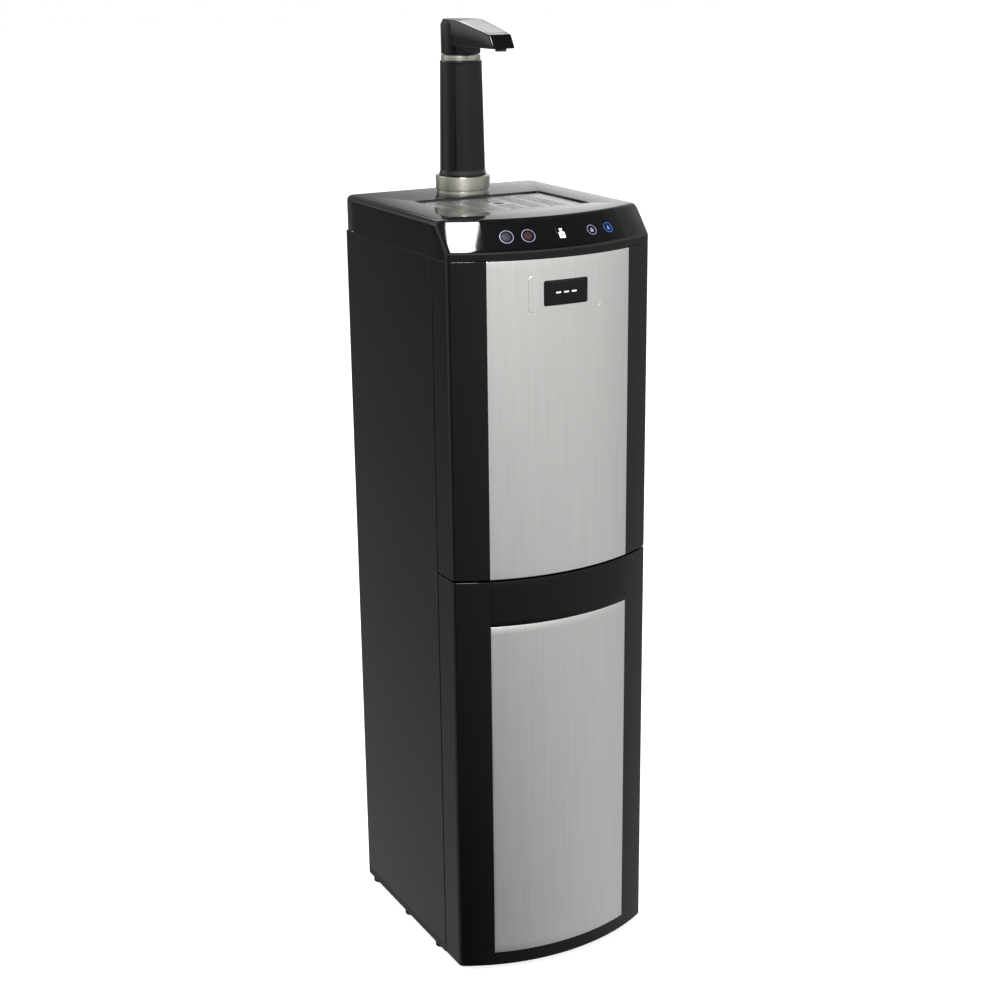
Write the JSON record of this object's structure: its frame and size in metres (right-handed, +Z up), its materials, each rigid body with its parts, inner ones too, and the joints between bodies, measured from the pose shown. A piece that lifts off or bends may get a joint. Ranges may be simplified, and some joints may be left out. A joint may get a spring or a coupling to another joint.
{
  "type": "bottom-load water dispenser",
  "caption": "Tall narrow floor-standing water dispenser with a bowed front, a bottle door below, sloped push buttons, a drip tray and a column spout on top.",
  "frame": {"origin": "centre of the bounding box on the floor plane", "axes": "+Z up; the door, buttons and spout tip face -Y; +X is to the right seen from the front, the side of the door's hinges"},
  "size_m": [0.31, 0.363, 1.3382],
  "materials": {
    "acetal_white": "natural acetal",
    "board_green": "circuit board",
    "brushed_stainless": "fine vertical brushing",
    "button_black": "gloss cap with a lit ring",
    "clear_lens": "tinted window with a lit symbol",
    "condenser_black": "gloss black enamel",
    "copper_tube": "drawn copper",
    "foam_white": "expanded foam",
    "gloss_black": "high gloss moulded",
    "grey_liner": "smooth moulded",
    "grille_steel": "satin",
    "magnet_grey": "ferrite",
    "matte_black": "fine moulded texture",
    "painted_black": "semi-gloss powder coat",
    "plated_ring": "brushed nickel plate",
    "probe_blue": "smooth moulded",
    "rubber_black": "matt",
    "silicone_tube": "translucent silicone",
    "tank_steel": "satin drawn",
    "window_black": "tinted window",
    "zinc_steel": "zinc plated"
  },
  "bodies": {
    "cabinet": {"base_plate": "matte_black", "feet": "rubber_black", "left_side_panel": "painted_black", "right_side_panel": "painted_black", "rear_panel": "zinc_steel", "power_inlet": "matte_black", "mid_deck": "zinc_steel", "bay_liner": "grey_liner", "upper_fascia": "gloss_black", "upper_steel_panel": "brushed_stainless", "badge_window": "window_black", "top_cover": "gloss_black", "control_panel": "gloss_black", "bottle_light": "clear_lens", "control_board": "board_green", "tower_flange": "plated_ring", "tower_column": "gloss_black", "tower_collar": "plated_ring", "lower_hinge_bracket": "zinc_steel", "upper_hinge_bracket": "zinc_steel", "strike_plate": "zinc_steel", "compressor": "condenser_black", "compressor_grommets": "rubber_black", "hot_tank": "tank_steel", "heater_band": "zinc_steel", "cold_tank": "tank_steel", "cold_tank_lid": "grey_liner", "cold_tank_jacket": "foam_white", "evaporator_coil": "copper_tube", "water_pump": "matte_black", "valve_block": "acetal_white", "power_supply": "matte_black", "drain_plug": "grey_liner", "condenser_coil": "condenser_black", "condenser_wires": "condenser_black", "condenser_brackets": "zinc_steel", "cold_water_tube": "silicone_tube", "hot_water_tube": "silicone_tube", "probe_holder": "grey_liner", "rear_screws": "zinc_steel"},
    "door": {"door_frame": "gloss_black", "door_steel_panel": "brushed_stainless", "door_strip": "gloss_black", "door_liner": "grey_liner", "hinge_bushes": "acetal_white", "door_magnet": "magnet_grey"},
    "tray": {"drip_tray": "matte_black"},
    "grille": {"drip_grille": "grille_steel"},
    "cold_key": {"cold_button": "button_black"},
    "hot_key": {"hot_button": "button_black"},
    "lock_key": {"lock_button": "button_black"},
    "pour_key": {"pour_button": "button_black"},
    "spout": {"spout_head": "gloss_black", "spout_top_plate": "gloss_black", "spout_nozzle": "matte_black"},
    "probe": {"probe_cap": "probe_blue", "probe_tube": "probe_blue"}
  },
  "joints": [
    {"name": "door_hinge", "type": "hinge", "parent": "cabinet", "child": "door", "pos_m": [0.145, -0.127, 0.3], "axis": [0, 0, 1], "range_deg": [0, 110]},
    {"name": "tray_lift", "type": "slide", "parent": "cabinet", "child": "tray", "axis": [0, 0, 1], "range_m": [0, 0.1]},
    {"name": "grille_lift", "type": "slide", "parent": "tray", "child": "grille", "axis": [0, 0, 1], "range_m": [0, 0.08]},
    {"name": "spout_swivel", "type": "hinge", "parent": "cabinet", "child": "spout", "pos_m": [0, 0.113, 1.29], "axis": [0, 0, 1], "range_deg": [-60, 60]},
    {"name": "probe_lift", "type": "slide", "parent": "cabinet", "child": "probe", "axis": [0, 0, 1], "range_m": [0, 0.06]},
    {"name": "cold_press", "type": "slide", "parent": "cabinet", "child": "cold_key", "axis": [0.2032, 0.7661, -0.6097], "range_m": [0, 0.0008], "stiffness_N_per_m": 600, "springref_m": -0.002},
    {"name": "hot_press", "type": "slide", "parent": "cabinet", "child": "hot_key", "axis": [0.1266, 0.7824, -0.6097], "range_m": [0, 0.0008], "stiffness_N_per_m": 600, "springref_m": -0.002},
    {"name": "lock_press", "type": "slide", "parent": "cabinet", "child": "lock_key", "axis": [-0.1266, 0.7824, -0.6097], "range_m": [0, 0.0008], "stiffness_N_per_m": 600, "springref_m": -0.002},
    {"name": "pour_press", "type": "slide", "parent": "cabinet", "child": "pour_key", "axis": [-0.2032, 0.7661, -0.6097], "range_m": [0, 0.0008], "stiffness_N_per_m": 600, "springref_m": -0.002}
  ]
}
